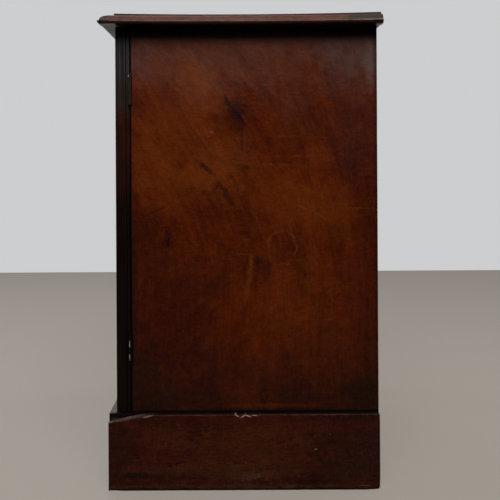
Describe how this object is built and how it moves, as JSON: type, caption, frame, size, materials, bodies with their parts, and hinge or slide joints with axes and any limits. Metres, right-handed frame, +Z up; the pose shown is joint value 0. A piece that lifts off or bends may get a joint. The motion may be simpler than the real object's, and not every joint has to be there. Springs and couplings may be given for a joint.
{
  "type": "collectors cabinet",
  "caption": "Free-standing collectors cabinet: moulded top, planted plinth, and a framed and panelled door on butt hinges over a bank of shallow graduated drawers.",
  "frame": {"origin": "on the floor, under the middle of the top board", "axes": "+Z up, -Y out of the door, +X towards the hinged side of the door"},
  "size_m": [0.588, 0.45, 0.76],
  "materials": {
    "polished_mahogany": "old french polish, glossy and worn",
    "plinth_mahogany": "dull, dark, scuffed polish",
    "drawer_mahogany": "satin polish",
    "drawer_cedar": "bare planed wood",
    "lining_oak": "bare planed wood",
    "pine": "bare aged wood",
    "brass": "dull and tarnished",
    "steel": "darkened"
  },
  "bodies": {
    "carcase": {"back_top_rail": "pine", "backboards": "pine", "base_rail": "plinth_mahogany", "bottom_board": "pine", "drawer_runners": "lining_oak", "front_top_rail": "pine", "glue_blocks": "pine", "hinge_pins": "brass", "left_lining": "lining_oak", "left_side": "polished_mahogany", "lower_hinge_side_leaf": "brass", "plinth_back": "pine", "plinth_front": "plinth_mahogany", "plinth_left": "plinth_mahogany", "plinth_right": "plinth_mahogany", "right_lining": "lining_oak", "right_side": "polished_mahogany", "side_screws": "brass", "strike_plate": "brass", "top_board": "polished_mahogany", "top_screws": "steel", "upper_hinge_side_leaf": "brass"},
    "door": {"hinge_stile": "polished_mahogany", "lock_stile": "polished_mahogany", "upper_rail": "polished_mahogany", "lower_rail": "polished_mahogany", "door_panel": "polished_mahogany", "panel_moulding": "polished_mahogany", "upper_hinge_door_leaf": "brass", "lower_hinge_door_leaf": "brass", "door_screws": "brass", "lock_case": "brass", "escutcheon": "brass"},
    "lock_bolt": {"lock_bolt": "brass"},
    "key": {"key": "steel"},
    "drawer_1": {"drawer_1_front": "drawer_mahogany", "drawer_1_box": "drawer_cedar", "drawer_1_knobs": "brass"},
    "drawer_2": {"drawer_2_front": "drawer_mahogany", "drawer_2_box": "drawer_cedar", "drawer_2_knobs": "brass"},
    "drawer_3": {"drawer_3_front": "drawer_mahogany", "drawer_3_box": "drawer_cedar", "drawer_3_knobs": "brass"},
    "drawer_4": {"drawer_4_front": "drawer_mahogany", "drawer_4_box": "drawer_cedar", "drawer_4_knobs": "brass"},
    "drawer_5": {"drawer_5_front": "drawer_mahogany", "drawer_5_box": "drawer_cedar", "drawer_5_knobs": "brass"},
    "drawer_6": {"drawer_6_front": "drawer_mahogany", "drawer_6_box": "drawer_cedar", "drawer_6_knobs": "brass"},
    "drawer_7": {"drawer_7_front": "drawer_mahogany", "drawer_7_box": "drawer_cedar", "drawer_7_knobs": "brass"},
    "drawer_8": {"drawer_8_front": "drawer_mahogany", "drawer_8_box": "drawer_cedar", "drawer_8_knobs": "brass"}
  },
  "joints": [
    {"name": "door_hinge", "type": "hinge", "parent": "carcase", "child": "door", "pos_m": [0.2703, -0.17665, 0.4286], "axis": [0, 0, 1], "range_deg": [0, 180]},
    {"name": "key_turn", "type": "hinge", "parent": "door", "child": "key", "pos_m": [-0.2235, -0.2, 0.4286], "axis": [0, 1, 0], "range_deg": [0, 180]},
    {"name": "bolt_slide", "type": "slide", "parent": "door", "child": "lock_bolt", "axis": [-1, 0, 0], "range_m": [0, 0.00785]},
    {"name": "drawer_1_slide", "type": "slide", "parent": "carcase", "child": "drawer_1", "axis": [0, -1, 0], "range_m": [0, 0.23]},
    {"name": "drawer_2_slide", "type": "slide", "parent": "carcase", "child": "drawer_2", "axis": [0, -1, 0], "range_m": [0, 0.23]},
    {"name": "drawer_3_slide", "type": "slide", "parent": "carcase", "child": "drawer_3", "axis": [0, -1, 0], "range_m": [0, 0.23]},
    {"name": "drawer_4_slide", "type": "slide", "parent": "carcase", "child": "drawer_4", "axis": [0, -1, 0], "range_m": [0, 0.23]},
    {"name": "drawer_5_slide", "type": "slide", "parent": "carcase", "child": "drawer_5", "axis": [0, -1, 0], "range_m": [0, 0.23]},
    {"name": "drawer_6_slide", "type": "slide", "parent": "carcase", "child": "drawer_6", "axis": [0, -1, 0], "range_m": [0, 0.23]},
    {"name": "drawer_7_slide", "type": "slide", "parent": "carcase", "child": "drawer_7", "axis": [0, -1, 0], "range_m": [0, 0.23]},
    {"name": "drawer_8_slide", "type": "slide", "parent": "carcase", "child": "drawer_8", "axis": [0, -1, 0], "range_m": [0, 0.23]}
  ],
  "couplings": [
    {"joint": "key_turn", "follows": "bolt_slide", "rad_per_m": 400},
    {"joint": "drawer_1_slide", "follows": "door_hinge", "m_per_rad": 0.072},
    {"joint": "drawer_2_slide", "follows": "door_hinge", "m_per_rad": 0.072},
    {"joint": "drawer_3_slide", "follows": "door_hinge", "m_per_rad": 0.072},
    {"joint": "drawer_4_slide", "follows": "door_hinge", "m_per_rad": 0.072},
    {"joint": "drawer_5_slide", "follows": "door_hinge", "m_per_rad": 0.072},
    {"joint": "drawer_6_slide", "follows": "door_hinge", "m_per_rad": 0.072},
    {"joint": "drawer_7_slide", "follows": "door_hinge", "m_per_rad": 0.072},
    {"joint": "drawer_8_slide", "follows": "door_hinge", "m_per_rad": 0.072}
  ]
}
